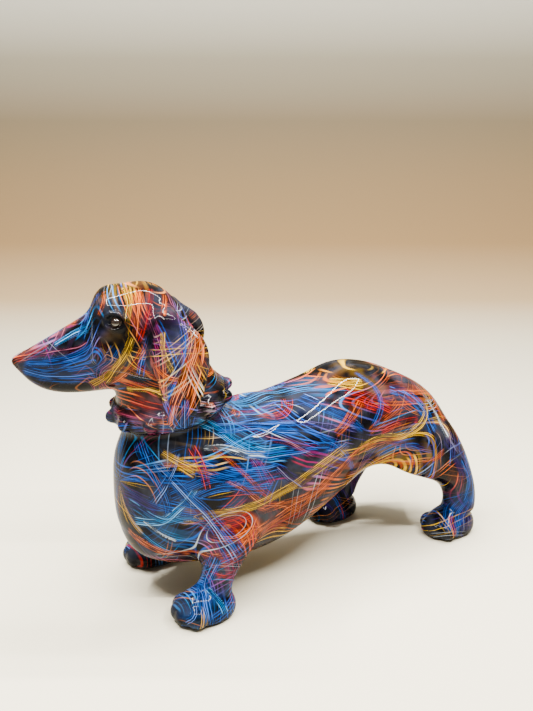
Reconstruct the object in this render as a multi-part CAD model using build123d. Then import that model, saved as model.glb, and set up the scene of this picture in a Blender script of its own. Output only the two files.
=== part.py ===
from build123d import *

import math
import os

# Ceramic dachshund figurine: a standing dog with its head turned to its right.
# Millimetres. The nose points towards -X, the tail towards +X, the dog's left is -Y and +Z is up.
# While it is modelled, x = 0 is midway between the front paws and z = 0 is the table.
# At the end everything is moved so that the origin is the middle of the footprint, on the table.

# ---- driving dimensions -------------------------------------------------------------------------
body_length = 136.0        # from the front paws' line to the back of the rump
back_height = 82.7         # from the table to the highest point of the back
body_width = 57.0          # across the ribs
wall = 3.5                 # thickness of the fired clay in the hollow head and body

neck_radius = 19.5         # the round seat that the collar sits on
neck_x = -1.0              # where the neck's axis crosses the joint between head and body
neck_drop = 2.0            # how far that joint lies below the top of the back
neck_lean = 12.0           # how far the neck leans forward, in degrees
seat_margin = 2.0          # how far the round seat runs past the collar on each side

head_length = 66.0         # from the tip of the nose to the back of the skull
head_height = 42.0         # from the jaw to the crown
head_width = 32.0          # across the skull behind the eyes
head_turn = 25.0           # turn of the head to the dog's right, in degrees
head_rise = 18.0           # height of the nose tip above the neck joint
skull_x = -9.0             # the crown's place over the neck
skull_y = 4.0

ear_drop = 41.0            # from an ear's root to its tip
ear_width = 21.5
ear_thickness = 6.0

eye_radius = 3.4
eye_depth = 2.3            # half the thickness of the lens-shaped eye
eye_sink = 0.8             # how far the eye's centre lies under the skin
eye_back = 39.0            # from the nose tip back to the eye
eye_up = 16.5              # from the nose tip up to the eye

collar_height = 8.0
collar_thickness = 2.6
collar_rounding = 1.0
stud_radius = 2.7
stud_count = 12
stud_proud = 0.7           # how far a stud's middle stands out from the band
first_stud = 15.0          # angle of the first stud from the nape, in degrees

front_stance = 52.0        # between the lines of the two front paws
hind_stance = 42.0         # between the lines of the two hind paws
front_left_x = -1.0        # each paw's middle, fore and aft
front_right_x = 2.0
hind_left_setback = 8.5    # from the back of the rump forward to the paw's middle
hind_right_setback = 44.0
ankle_radius = 6.5
paw_length = 25.5
paw_width = 18.5
paw_height = 12.5
toe_radius = 4.4
toe_count = 4
toe_inset = 3.3            # how far a toe's middle lies inside the paw's outline
toe_level = 3.7            # height of the toes' middles over the sole

tail_radius = 3.2          # at its root
tail_tip_radius = 1.6

pad_thickness = 0.8        # soft pads glued under the paws
pad_margin = 1.5           # how far a pad stays inside the paw's flat sole

vent_diameter = 4.5        # hole in the belly that lets air out while the clay is fired
vent_x = 62.0

# ---- places worked out from them ----------------------------------------------------------------
lean = math.radians(neck_lean)
neck_joint = Vector(neck_x, 0, back_height - neck_drop)
neck_axis = Vector(-math.sin(lean), 0, math.cos(lean))
neck_back = Vector(math.cos(lean), 0, math.sin(lean))
neck_seat = collar_height / 2 + seat_margin
sideways = Vector(0, 1, 0)

turn = math.radians(head_turn)
crown_back = 0.74 * head_length
nose_tip = Vector(
    skull_x - crown_back * math.cos(turn),
    skull_y + crown_back * math.sin(turn),
    neck_joint.Z + head_rise,
)
head_frame = Location(nose_tip) * Rot(0, 0, -head_turn)


# ---- shapes that repeat -------------------------------------------------------------------------
def oval(centre, across, half_across, half_width, fullness=2.0):
    """A closed oval face. Fullness 2 is an ellipse and more is boxier."""
    count = 12
    points = []
    for step in range(count):
        angle = 2 * math.pi * step / count
        u = math.copysign(abs(math.cos(angle)) ** (2 / fullness), math.cos(angle))
        v = math.copysign(abs(math.sin(angle)) ** (2 / fullness), math.sin(angle))
        points.append(centre + across * (half_across * u) + sideways * (half_width * v))
    marks = [float(step) for step in range(count + 1)]
    return make_face(Edge.make_spline(points, periodic=True, parameters=marks))


def offset_outline(points, distance):
    """Move each point of an open (x, z) outline sideways, square to the line through its neighbours."""
    moved = []
    for index, (x, z) in enumerate(points):
        before = points[max(index - 1, 0)]
        after = points[min(index + 1, len(points) - 1)]
        run, rise = after[0] - before[0], after[1] - before[1]
        size = math.hypot(run, rise)
        moved.append((x - distance * rise / size, z + distance * run / size))
    return moved


def slices_between(lows, highs, half_widths, inset, fullness):
    """Ovals across two (x, z) outlines, all moved inwards by the inset."""
    faces = []
    low_points = offset_outline(lows, inset)
    high_points = offset_outline(highs, -inset)
    for low, high, half_width in zip(low_points, high_points, half_widths):
        middle = Vector((low[0] + high[0]) / 2, 0, (low[1] + high[1]) / 2)
        span = Vector(high[0] - low[0], 0, high[1] - low[1])
        width = half_width - inset
        faces.append(oval(middle, span.normalized(), span.length / 2, width, fullness))
    return faces


def neck_disc(height, inset=0.0):
    """The round section of the neck at a height along its axis above the joint."""
    radius = neck_radius - inset
    return oval(neck_joint + neck_axis * height, neck_back, radius, radius)


def ellipsoid(half_x, half_y, half_z):
    return scale(Sphere(1), by=(half_x, half_y, half_z))


# ---- body ---------------------------------------------------------------------------------------
# Each row is one slice through the body: its lower and its upper outline point, as shares of the
# body's length and of the back's height, and its width as a share of the body's width.
body_rows = [
    ((-0.150, 0.770), (0.205, 0.878), 0.80),
    ((-0.172, 0.569), (0.290, 0.882), 0.94),
    ((-0.162, 0.373), (0.360, 0.902), 1.00),
    ((-0.085, 0.207), (0.430, 0.927), 1.00),
    ((0.075, 0.138), (0.490, 0.951), 0.98),
    ((0.270, 0.148), (0.550, 0.976), 0.92),
    ((0.470, 0.290), (0.620, 0.995), 0.85),
    ((0.640, 0.412), (0.710, 0.971), 0.83),
    ((0.790, 0.422), (0.835, 0.876), 0.80),
    ((0.890, 0.432), (0.930, 0.755), 0.64),
    ((0.960, 0.452), (0.978, 0.628), 0.40),
    ((0.996, 0.491), (1.000, 0.564), 0.16),
]
body_fullness = 2.15
chest_rows = 4             # the chest and the trunk are two smooth lofts that share this slice
closing_rows = 3           # the cavity stops this many slices before the back of the rump


def body_solid(inset=0.0):
    """The body from the neck joint to the rump, or its cavity when it is inset by the wall."""
    lows = [(x * body_length, z * back_height) for (x, z), _, _ in body_rows]
    highs = [(x * body_length, z * back_height) for _, (x, z), _ in body_rows]
    widths = [share * body_width / 2 for _, _, share in body_rows]
    faces = [neck_disc(0, inset), neck_disc(-neck_seat, inset)]
    faces += slices_between(lows, highs, widths, inset, body_fullness)
    if inset:
        faces = faces[:-closing_rows]
    return loft(faces[: chest_rows + 1]) + loft(faces[chest_rows:])


# ---- head ---------------------------------------------------------------------------------------
# Slices from the nose back to the nape: distance behind the nose tip as a share of the head's
# length, lower and upper outline heights from the nose tip as shares of the head's height,
# and width as a share of the head's width.
head_rows = [
    (0.000, -0.035, 0.010, 0.10),
    (0.020, -0.075, 0.035, 0.22),
    (0.080, -0.190, 0.085, 0.33),
    (0.180, -0.290, 0.175, 0.42),
    (0.300, -0.325, 0.285, 0.50),
    (0.420, -0.320, 0.425, 0.64),
    (0.505, -0.305, 0.615, 0.84),
    (0.610, -0.290, 0.655, 0.96),
    (0.740, -0.240, 0.675, 1.00),
    (0.870, -0.120, 0.590, 0.90),
    (0.955, 0.020, 0.440, 0.62),
    (0.998, 0.160, 0.290, 0.18),
]
head_fullness = 2.1
solid_nose_rows = 4        # the nose is solid as far as this slice
solid_nape_rows = 2        # and the nape from this many slices before the back of the skull

# The neck above the collar: height over the joint, shift forward, shift to the dog's right, size.
neck_rows = [
    (15.0, 3.0, 1.5, 0.94),
    (24.0, 4.5, 3.0, 0.87),
    (31.0, 5.0, 4.0, 0.62),
]


def skull_solid(inset=0.0):
    """Muzzle and skull in the head's own frame, with the nose tip at its origin."""
    lows = [(back * head_length, low * head_height) for back, low, _, _ in head_rows]
    highs = [(back * head_length, high * head_height) for back, _, high, _ in head_rows]
    widths = [share * head_width / 2 for _, _, _, share in head_rows]
    faces = slices_between(lows, highs, widths, inset, head_fullness)
    if inset:
        faces = faces[solid_nose_rows:-solid_nape_rows]
    return loft(faces)


def neck_solid(inset=0.0):
    """The throat and nape, from the joint up into the skull."""
    faces = [neck_disc(0, inset), neck_disc(neck_seat, inset)]
    for rise, forward, right, share in neck_rows:
        centre = neck_joint + Vector(-forward, right, rise)
        radius = share * neck_radius - inset
        faces.append(oval(centre, Vector(1, 0, 0), radius, radius))
    return loft(faces)


def head_solid(inset=0.0):
    return head_frame * skull_solid(inset) + neck_solid(inset)


# ---- ears, in the head's frame ------------------------------------------------------------------
# Drop below the root as a share of the ear's drop, place behind the nose tip, distance from the
# head's middle plane, and the shares of the ear's width and thickness.
ear_rows = [
    (0.00, 57.0, 10.5, 0.40, 0.90),
    (0.12, 58.5, 13.5, 0.62, 1.00),
    (0.30, 61.5, 17.0, 0.96, 1.00),
    (0.50, 62.0, 20.5, 0.92, 0.90),
    (0.70, 61.8, 23.6, 0.70, 0.80),
    (0.87, 61.0, 25.0, 0.54, 0.70),
    (1.00, 60.5, 25.4, 0.26, 0.40),
]
ear_root_up = 20.0         # height of the ear's root over the nose tip
ear_fullness = 2.3


def ear_solid(side):
    faces = []
    for drop, back, out, width, thickness in ear_rows:
        centre = Vector(back, side * out, ear_root_up - drop * ear_drop)
        half_width = width * ear_width / 2
        half_thickness = thickness * ear_thickness / 2
        faces.append(oval(centre, Vector(1, 0, 0), half_width, half_thickness, ear_fullness))
    return head_frame * loft(faces)


# ---- legs ---------------------------------------------------------------------------------------
# Level slices up a leg: height as a share of the back's height, shift back from the paw's middle,
# shift in from the paw's line, and half sizes fore-and-aft and across, as shares of the ankle.
front_leg_rows = [
    (0.099, 3.8, 0.0, 1.08, 0.95),
    (0.192, 6.3, 0.5, 1.16, 0.97),
    (0.275, 10.0, 1.5, 1.50, 1.15),
    (0.383, 13.0, 4.0, 2.10, 1.45),
    (0.530, 15.0, 7.0, 2.40, 1.25),
]
hind_leg_left_rows = [
    (0.128, 4.0, 0.0, 1.25, 1.15),
    (0.216, 5.0, 0.0, 1.18, 1.10),
    (0.314, 1.5, 0.5, 1.48, 1.25),
    (0.412, -8.0, 2.0, 2.70, 1.45),
    (0.510, -15.0, 4.5, 3.45, 1.65),
    (0.667, -20.0, 8.0, 3.00, 1.30),
]
hind_leg_right_rows = [
    (0.128, 4.0, 0.0, 1.15, 1.10),
    (0.216, 7.5, 0.0, 1.15, 1.05),
    (0.314, 12.0, 0.5, 1.45, 1.20),
    (0.412, 15.5, 2.0, 2.00, 1.40),
    (0.510, 17.5, 4.5, 2.60, 1.60),
    (0.667, 17.0, 8.0, 2.60, 1.30),
]
sole_level = 0.26          # height of the paw's widest level, as a share of the paw's height
sole_share = math.sqrt(1 - (sole_level / (1 - sole_level)) ** 2)


def paw_solid():
    """A paw with its toes towards -X, its flat sole at z = 0 and its middle at the origin."""
    middle = sole_level * paw_height
    paw = Pos(0, 0, middle) * ellipsoid(paw_length / 2, paw_width / 2, paw_height - middle)
    spread = paw_width / 2 - toe_inset
    for toe in range(toe_count):
        across = (2 * toe / (toe_count - 1) - 1) * spread
        forward = paw_length / 2 * math.sqrt(1 - (across / (paw_width / 2)) ** 2) - toe_inset
        paw += Pos(-forward, across, toe_level) * Sphere(toe_radius)
    return paw - Pos(0, 0, -paw_height) * Box(2 * paw_length, 2 * paw_width, 2 * paw_height)


def leg_solid(paw_x, paw_y, rows):
    """A leg with its paw, made on the dog's right and mirrored for its left."""
    faces = []
    for height, back, inset, depth, width in rows:
        centre = Vector(paw_x + back, abs(paw_y) - inset, height * back_height)
        faces.append(oval(centre, Vector(1, 0, 0), depth * ankle_radius, width * ankle_radius))
    leg = Pos(paw_x, abs(paw_y), pad_thickness) * paw_solid() + (loft(faces) - body_outer)
    return mirror(leg, Plane.XZ) if paw_y < 0 else leg


def pad_solid(paw_x, paw_y):
    half_length = sole_share * paw_length / 2 - pad_margin
    half_width = sole_share * paw_width / 2 - pad_margin
    return Pos(paw_x, paw_y, 0) * extrude(Ellipse(half_length, half_width), pad_thickness)


# ---- tail ---------------------------------------------------------------------------------------
# The tail hangs down against the rump: points as shares of the body's length and back's height.
tail_points = [
    (0.840, 0.824),
    (0.905, 0.770),
    (0.965, 0.687),
    (1.004, 0.574),
    (1.024, 0.461),
    (1.034, 0.383),
    (1.036, 0.358),
]


def tail_solid():
    faces = []
    last = len(tail_points) - 1
    for index, (x, z) in enumerate(tail_points):
        before = tail_points[max(index - 1, 0)]
        after = tail_points[min(index + 1, last)]
        run = (after[0] - before[0]) * body_length
        rise = (after[1] - before[1]) * back_height
        outward = Vector(-rise, 0, run).normalized()
        radius = tail_radius + (tail_tip_radius - tail_radius) * index / last
        if index == last:
            radius /= 2
        faces.append(oval(Vector(x * body_length, 0, z * back_height), outward, radius, radius))
    return loft(faces)


# ---- collar -------------------------------------------------------------------------------------
collar_plane = Plane(origin=neck_joint, x_dir=neck_back, z_dir=neck_axis)
collar_radius = neck_radius + collar_thickness


def collar_band_solid():
    ring = Cylinder(collar_radius, collar_height)
    return collar_plane * fillet(ring.edges(), collar_rounding)


def stud_solids():
    """Round studs evenly spaced round the collar, each sunk a little into the band."""
    ring = PolarLocations(collar_radius + stud_proud, stud_count, start_angle=first_stud)
    return [collar_plane * place * Sphere(stud_radius) for place in ring]


# ---- eyes ---------------------------------------------------------------------------------------
def eye_solid(side, skull):
    """A glass eye sunk into the side of the skull, in the head's frame."""
    sight_line = Axis((eye_back, 0, eye_up), (0, side, 0))
    hits = skull.find_intersection_points(sight_line)
    skin, normal = max(hits, key=lambda hit: side * hit[0].Y)
    outward = normal if normal.Y * side > 0 else -normal
    seat = Plane(origin=skin - outward * eye_sink, z_dir=outward)
    return head_frame * (seat * ellipsoid(eye_radius, eye_radius, eye_depth))


# ---- build the pieces ---------------------------------------------------------------------------
body_outer = body_solid()
head_outer = head_solid()
left_eye = eye_solid(-1, skull_solid())
right_eye = eye_solid(1, skull_solid())

vent = Pos(vent_x, 0, 0) * Cylinder(vent_diameter / 2, back_height)
nodes = {}
nodes["torso_shell"] = body_outer - body_solid(wall) - vent
nodes["head_shell"] = head_outer - head_solid(wall) - left_eye - right_eye
nodes["left_eye"] = left_eye
nodes["right_eye"] = right_eye
whole_collar = collar_band_solid()
nodes["collar_band"] = whole_collar - body_outer - head_outer

studs = [stud - whole_collar - body_outer - head_outer for stud in stud_solids()]
nodes["collar_studs"] = Compound(children=[Solid(stud.solid().wrapped) for stud in studs])

neighbours = body_outer + head_outer + whole_collar
for name, side in (("left_ear", -1), ("right_ear", 1)):
    ear = ear_solid(side) - neighbours
    for stud in studs:
        ear -= stud
    nodes[name] = ear

hind_left_x = body_length - hind_left_setback
hind_right_x = body_length - hind_right_setback
feet = {
    "front_left": (front_left_x, -front_stance / 2, front_leg_rows),
    "front_right": (front_right_x, front_stance / 2, front_leg_rows),
    "hind_left": (hind_left_x, -hind_stance / 2, hind_leg_left_rows),
    "hind_right": (hind_right_x, hind_stance / 2, hind_leg_right_rows),
}
for name, (paw_x, paw_y, rows) in feet.items():
    nodes[f"{name}_leg"] = leg_solid(paw_x, paw_y, rows)
    nodes[f"{name}_paw_pad"] = pad_solid(paw_x, paw_y)
nodes["tail"] = tail_solid() - body_outer

# ---- move the origin to the middle of the footprint and write the files -------------------------
box = Compound(children=[Compound(node.wrapped) for node in nodes.values()]).bounding_box()
to_origin = Pos(-box.center().X, -box.center().Y, -box.min.Z)
print("moved by", to_origin.position, "size", box.size)

os.makedirs("parts", exist_ok=True)
for name, solid in nodes.items():
    moved = to_origin * solid
    print(name, [round(piece.volume, 1) for piece in moved.solids()], moved.is_valid)
    export_step(moved, f"parts/{name}.step")
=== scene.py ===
import math

import bmesh
import bpy
import numpy as np
from mathutils import Matrix, Vector
from mathutils.bvhtree import BVHTree
from mathutils.kdtree import KDTree


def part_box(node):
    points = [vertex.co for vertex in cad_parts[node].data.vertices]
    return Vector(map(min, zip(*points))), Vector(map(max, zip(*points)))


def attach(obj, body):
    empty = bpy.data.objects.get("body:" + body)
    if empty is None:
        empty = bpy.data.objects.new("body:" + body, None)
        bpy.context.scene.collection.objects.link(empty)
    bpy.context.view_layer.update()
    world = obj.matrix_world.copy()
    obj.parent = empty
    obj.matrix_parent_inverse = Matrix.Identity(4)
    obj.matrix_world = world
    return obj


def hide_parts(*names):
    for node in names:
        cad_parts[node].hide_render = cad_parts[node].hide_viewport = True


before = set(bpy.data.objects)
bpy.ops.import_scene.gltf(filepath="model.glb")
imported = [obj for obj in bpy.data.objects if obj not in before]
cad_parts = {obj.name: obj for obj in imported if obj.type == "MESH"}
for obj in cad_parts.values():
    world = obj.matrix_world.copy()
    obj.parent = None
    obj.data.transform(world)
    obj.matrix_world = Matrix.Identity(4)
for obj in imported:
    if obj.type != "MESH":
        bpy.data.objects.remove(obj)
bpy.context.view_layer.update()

# Looks of a glossy ceramic dachshund with an all-over light-trail print.
# Lengths are in metres; MM turns the millimetres that a person thinks in into metres.
# The nose points to -X, the tail to +X, the dog's left is -Y, and z = 0 is the table.

MM = 0.001

# The clay pieces that are glazed as one continuous skin
SKIN_NODES = [
    "torso_shell", "head_shell", "left_ear", "right_ear",
    "front_left_leg", "front_right_leg", "hind_left_leg", "hind_right_leg",
    "tail", "collar_band", "collar_studs",
]
EYE_NODES = ["left_eye", "right_eye"]
PAD_NODES = ["front_left_paw_pad", "front_right_paw_pad", "hind_left_paw_pad", "hind_right_paw_pad"]
TORSO, HEAD, LEFT_EAR, RIGHT_EAR = 0, 1, 2, 3
LEGS = (4, 5, 6, 7)
TAIL, COLLAR, STUDS = 8, 9, 10

SKIN_STEP = 0.62 * MM      # edge length of the skin's mesh
VOTING_ROUNDS = 6          # how often a face takes its piece from the faces round it


# ---- places read from the frame -----------------------------------------------------------------
def middle(node):
    low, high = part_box(node)
    return np.array((low + high) / 2)


left_eye, right_eye = middle("left_eye"), middle("right_eye")
head_side = left_eye - right_eye
head_side[2] = 0
head_side /= np.linalg.norm(head_side)
head_forward = np.array([head_side[1], -head_side[0], 0.0])
if head_forward[0] > 0:
    head_forward = -head_forward
head_up = np.array([0.0, 0.0, 1.0])


def mesh_points(mesh):
    """The vertices of a mesh as the rows of a numpy array."""
    points = np.empty(len(mesh.vertices) * 3)
    mesh.vertices.foreach_get("co", points)
    return points.reshape(-1, 3)


shell_points = mesh_points(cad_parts["head_shell"].data)
nose = shell_points[np.argmax(shell_points @ head_forward)]


def to_head(points):
    """Coordinates in the head's frame: back from the nose, out to the dog's left, up."""
    moved = points - nose
    return np.stack([-(moved @ head_forward), moved @ head_side, moved @ head_up], axis=1)


def from_head(back, left, up):
    """A point, from millimetres back from the nose tip, to the dog's left and up."""
    return nose + (-back * head_forward + left * head_side + up * head_up) * MM


def head_path(rows, side=1):
    """The points of a path on the head, from rows of back, out and up; side is 1 for the left."""
    return np.array([from_head(back, side * out, up) for back, out, up in rows])


# ---- mesh tools ---------------------------------------------------------------------------------
def new_object(name, vertices, faces):
    mesh = bpy.data.meshes.new(name)
    mesh.from_pydata([tuple(v) for v in vertices], [], faces)
    mesh.update()
    item = bpy.data.objects.new(name, mesh)
    bpy.context.scene.collection.objects.link(item)
    return item


def joined_skin():
    """The clay pieces and the eyes as one object, a tree of its faces, and each face's node."""
    vertices, faces, owner = [], [], []
    for index, node in enumerate(SKIN_NODES + EYE_NODES):
        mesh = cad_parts[node].data
        start = len(vertices)
        vertices.extend(tuple(v.co) for v in mesh.vertices)
        for polygon in mesh.polygons:
            faces.append([start + v for v in polygon.vertices])
            owner.append(index)
    tree = BVHTree.FromPolygons(vertices, faces)
    solid = new_object("skin", vertices, faces)
    return solid, tree, np.array(owner)


VENT_X = 17.7 * MM
VENT_RADIUS = 2.25 * MM
VENT_RIM = 1.25            # the pressed rim's outer radius, against the vent's own
VENT_SLOPE = 0.4           # the width of the rounded rim, against the vent's radius
VENT_DEPTH = 3.2 * MM
PLUG_RADIUS = 3.1 * MM
PLUG_HEIGHT = 1.4 * MM     # the plug's middle over the belly's surface
BESIDE_VENT = 4 * MM       # where a ray from below meets the belly and not the hole
BELLY_BAND = 4 * MM        # the vent is pressed only into skin this near the belly's height


def plug_vent(solid, tree):
    """Close the firing vent for now, so that the skin doesn't turn inwards through it."""
    low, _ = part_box("torso_shell")
    under = Vector((VENT_X, BESIDE_VENT, low.z - 10 * MM))
    hit = tree.ray_cast(under, Vector((0, 0, 1)))[0]
    mesh = bmesh.new()
    mesh.from_mesh(solid.data)
    place = Matrix.Translation((VENT_X, 0, hit.z + PLUG_HEIGHT))
    bmesh.ops.create_icosphere(mesh, subdivisions=3, radius=PLUG_RADIUS, matrix=place)
    mesh.to_mesh(solid.data)
    mesh.free()
    return hit.z


def remeshed(solid, step):
    modifier = solid.modifiers.new("skin", "REMESH")
    modifier.mode = "VOXEL"
    modifier.voxel_size = step
    graph = bpy.context.evaluated_depsgraph_get()
    mesh = bpy.data.meshes.new_from_object(solid.evaluated_get(graph))
    bpy.data.objects.remove(solid)
    return mesh


class Skin:
    """The skin as arrays, with the moves that a sculptor makes."""

    def __init__(self, mesh):
        self.points = mesh_points(mesh)
        self.faces = [tuple(p.vertices) for p in mesh.polygons]
        edges = np.empty(len(mesh.edges) * 2, np.int64)
        mesh.edges.foreach_get("vertices", edges)
        self.edges = edges.reshape(-1, 2)
        count = len(self.points)
        both = np.concatenate([self.edges, self.edges[:, ::-1]])
        both = both[np.argsort(both[:, 0], kind="stable")]
        self.degree = np.bincount(both[:, 0], minlength=count)
        self.start = np.concatenate([[0], np.cumsum(self.degree)[:-1]])
        self.other = both[:, 1]
        self.quads = np.array([f if len(f) == 4 else f + (f[-1],) for f in self.faces])

    def neighbour_mean(self, values):
        total = np.add.reduceat(values[self.other], self.start, axis=0)
        return total / self.degree[:, None]

    def smooth(self, rounds, weight=None, strength=0.5):
        weight = 1.0 if weight is None else weight[:, None]
        for _ in range(rounds):
            self.points += (self.neighbour_mean(self.points) - self.points) * strength * weight

    def normals(self):
        corners = self.points[self.quads]
        face = np.cross(corners[:, 2] - corners[:, 0], corners[:, 3] - corners[:, 1])
        total = np.zeros_like(self.points)
        for column in range(4):
            np.add.at(total, self.quads[:, column], face)
        return total / np.maximum(np.linalg.norm(total, axis=1), 1e-12)[:, None]

    def push(self, centre, radius, height, stretch=None):
        """Raise or lower the surface round a point, in millimetres."""
        away = (self.points - centre) / MM
        if stretch is not None:
            away = away / stretch
        falloff = np.exp(-(np.linalg.norm(away, axis=1) / radius) ** 2)
        near = falloff > 0.01
        self.points[near] += self.normals()[near] * (falloff[near] * height * MM)[:, None]

    def crease(self, path, radius, depth):
        """Press a groove (or raise a ridge, if the depth is negative) along a path of points."""
        away = distance_to_path(self.points, path) / MM
        falloff = np.exp(-(away / radius) ** 2)
        near = falloff > 0.01
        self.points[near] -= self.normals()[near] * (falloff[near] * depth * MM)[:, None]


def smoothstep(low, high, value):
    """A smooth rise from 0 to 1 while the value goes from low to high."""
    t = np.clip((value - low) / (high - low), 0, 1)
    return t * t * (3 - 2 * t)


def distance_to_path(points, path):
    """How far each point is from the nearest stretch of a path."""
    nearest = np.full(len(points), 1e9)
    for start, end in zip(path[:-1], path[1:]):
        span = end - start
        along = np.clip(((points - start) @ span) / (span @ span), 0, 1)
        gap = np.linalg.norm(points - start - along[:, None] * span, axis=1)
        nearest = np.minimum(nearest, gap)
    return nearest


def face_owners(skin, tree, owner):
    """Which clay piece each face of the skin belongs to, with ragged edges evened out."""
    centres = skin.points[skin.quads].mean(axis=1)
    labels = np.empty(len(centres), np.int64)
    for index, centre in enumerate(centres):
        labels[index] = owner[tree.find_nearest(Vector(centre))[2]]
    labels[labels >= len(SKIN_NODES)] = HEAD
    count = len(skin.points)
    for _ in range(VOTING_ROUNDS):
        votes = np.zeros((count, len(SKIN_NODES)))
        for column in range(4):
            np.add.at(votes, (skin.quads[:, column], labels), 1)
        votes = skin.neighbour_mean(votes) + votes
        labels = votes[skin.quads].sum(axis=1).argmax(axis=1)
    return labels


def joint_distance(skin, labels, first, second):
    """Distance of every point from the joint between two groups of pieces."""
    count = len(skin.points)
    touched = np.zeros((count, 2), bool)
    for side, group in enumerate((first, second)):
        faces = np.isin(labels, group)
        touched[np.unique(skin.quads[faces]), side] = True
    line = skin.points[touched.all(axis=1)]
    tree = KDTree(len(line))
    for index, point in enumerate(line):
        tree.insert(point, index)
    tree.balance()
    return np.array([tree.find(p)[2] for p in skin.points])


# The pieces on the two sides of a joint, how far it is softened in millimetres, and the rounds
JOINTS = [
    ([TORSO], list(LEGS), 9.0, 260),
    ([TORSO], [TAIL], 4.0, 60),
    ([HEAD], [LEFT_EAR, RIGHT_EAR], 3.0, 50),
    ([TORSO, HEAD], [COLLAR], 1.6, 12),
    ([COLLAR], [STUDS], 1.0, 5),
]


def soften_joints(skin, labels):
    """Run the pieces into each other as a sponge does on wet clay."""
    for first, second, reach, rounds in JOINTS:
        distance = joint_distance(skin, labels, first, second) / MM
        skin.smooth(rounds, np.exp(-(distance / reach) ** 2))


# ---- build the skin -----------------------------------------------------------------------------
solid, cad_tree, cad_owner = joined_skin()
belly_z = plug_vent(solid, cad_tree)
skin = Skin(remeshed(solid, SKIN_STEP))
skin.smooth(4)
labels = face_owners(skin, cad_tree, cad_owner)
soften_joints(skin, labels)
skin.smooth(3)


# ---- sculpting ----------------------------------------------------------------------------------
# Pushes on the head, in its own frame, made on both sides:
# back, out, up, radius, height, and how far the push is stretched along the body, out and up.
HEAD_PUSHES = [
    (35.5, 9.5, 22.5, 5.0, 1.1, (1.2, 1, 0.7)),       # brow
    (31.5, 9.5, 14.5, 4.0, -1.1, (1, 1, 1)),          # hollow in front of the eye
    (40.0, 12.5, 10.5, 4.5, -0.7, (1.4, 1, 0.7)),     # hollow under the eye
    (49.0, 14.0, 3.0, 9.0, 1.3, (1.2, 1, 1)),         # cheek
    (22.0, 7.0, 5.5, 6.0, -0.6, (1.4, 1, 1)),         # side of the muzzle
    (52.0, 13.0, 20.0, 6.0, -0.5, (1, 1, 1)),         # temple
    (1.6, 2.2, -1.2, 1.0, -1.0, (1, 1, 1)),           # nostril
    (57.0, 14.0, 18.0, 3.5, 1.2, (1.3, 1, 0.8)),      # knot at the root of the ear
    (35.5, 11.0, 12.0, 1.9, 1.2, (1.3, 1, 0.8)),      # bag under the eye
]
HEAD_MIDDLE_PUSHES = [
    (29.5, 0, 19.0, 5.0, -1.2, (1, 1, 1)),            # stop
    (47.0, 0, 29.0, 9.0, -0.5, (1.6, 0.4, 1)),        # furrow of the crown
    (1.5, 0, 0.6, 2.6, 0.45, (1, 1, 1)),              # nose pad
]
MOUTH = [(1.5, 1.2, -5.0), (8, 5.6, -8.3), (18, 8.0, -9.2), (27, 10.5, -7.6), (33, 12.5, -4.5)]
NOSE_EDGE = [(4.6, 4.0, -3.5), (5.4, 3.3, 0.8), (6.2, 0, 3.9), (5.4, -3.3, 0.8), (4.6, -4.0, -3.5)]
EAR_HOLLOW = (61.5, 22.0, 2.0, 6.5, -1.0, (1, 1, 1.9))
EAR_FRONT = [(52, 14, 12), (50, 18, 7), (50.5, 20, 0), (52.5, 22, -8), (54, 23, -15), (56.5, 24, -21)]
EAR_RIM = [(60, 14.5, 18), (68.0, 16.5, 12), (71.0, 19.5, 3), (69.5, 22.5, -6), (66.5, 25.0, -14)]

# Pushes on the body: along, out, up, radius, height, stretch
BODY_PUSHES = [
    (-36, 25, 50, 12, 1.5, (1, 1, 1.3)),              # shoulder blade
    (-26, 28, 30, 8, 0.8, (1, 1, 1)),                 # upper arm
    (-10, 28, 34, 9, -1.2, (0.8, 1, 1.4)),            # hollow behind the elbow
    (6, 27, 46, 16, 0.7, (1.4, 1, 1)),                # ribs
    (39, 22, 44, 12, -1.6, (1, 1, 1.3)),              # flank
    (62, 22, 52, 12, 1.3, (1, 1, 1)),                 # haunch
    (84, 20, 30, 5, -0.6, (1, 1, 1)),                 # above the hock
    (-66, 8, 60, 9, 0.8, (1, 1, 1)),                  # forechest
    (34, 10, 80, 10, 0.9, (1, 1, 1)),                 # loin
    (6, 12, 78, 12, -0.7, (1, 1, 1)),                 # dip behind the withers
]
SPINE = [(-12, 0, 75), (10, 0, 79), (45, 0, 82), (66, 0, 74)]


def push_head(skin, rows, side):
    for back, out, up, radius, height, stretch in rows:
        skin.push(from_head(back, side * out, up), radius, height, np.array(stretch))


def sculpt(skin):
    """Muscles, hollows, mouth, ears and spine. A crease has a radius and a depth."""
    for side in (1, -1):
        push_head(skin, HEAD_PUSHES, side)
        skin.crease(head_path(MOUTH, side), 0.85, 0.85)
        push_head(skin, [EAR_HOLLOW], side)
        skin.crease(head_path(EAR_RIM, side), 1.9, -0.9)
        skin.crease(head_path(EAR_FRONT, side), 1.3, 1.0)
        for x, out, z, radius, height, stretch in BODY_PUSHES:
            skin.push(np.array([x, -side * out, z]) * MM, radius, height, np.array(stretch))
    push_head(skin, HEAD_MIDDLE_PUSHES, 1)
    skin.crease(head_path(NOSE_EDGE), 0.8, 0.45)
    skin.crease(np.array(SPINE) * MM, 4.0, 0.6)


EYE_OPENING = 3.3          # half the length of the almond opening, in millimetres
EYE_HALF_HEIGHT = 2.5
EYE_SLANT = 0.072          # how much the opening rises towards the nose
LOOK_OUT, LOOK_AHEAD, LOOK_UP = 0.86, 0.32, 0.38
LID_RISE = 0.55            # how far the lids stand out, in millimetres
LID_LINE, LID_WIDTH = 1.22, 0.22       # as shares of the opening
UPPER_LID, LOWER_LID = 1.35, 0.8
SOCKET_EDGE, SOCKET_SLOPE, SOCKET_DEPTH = 1.06, 0.25, 1.7


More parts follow.
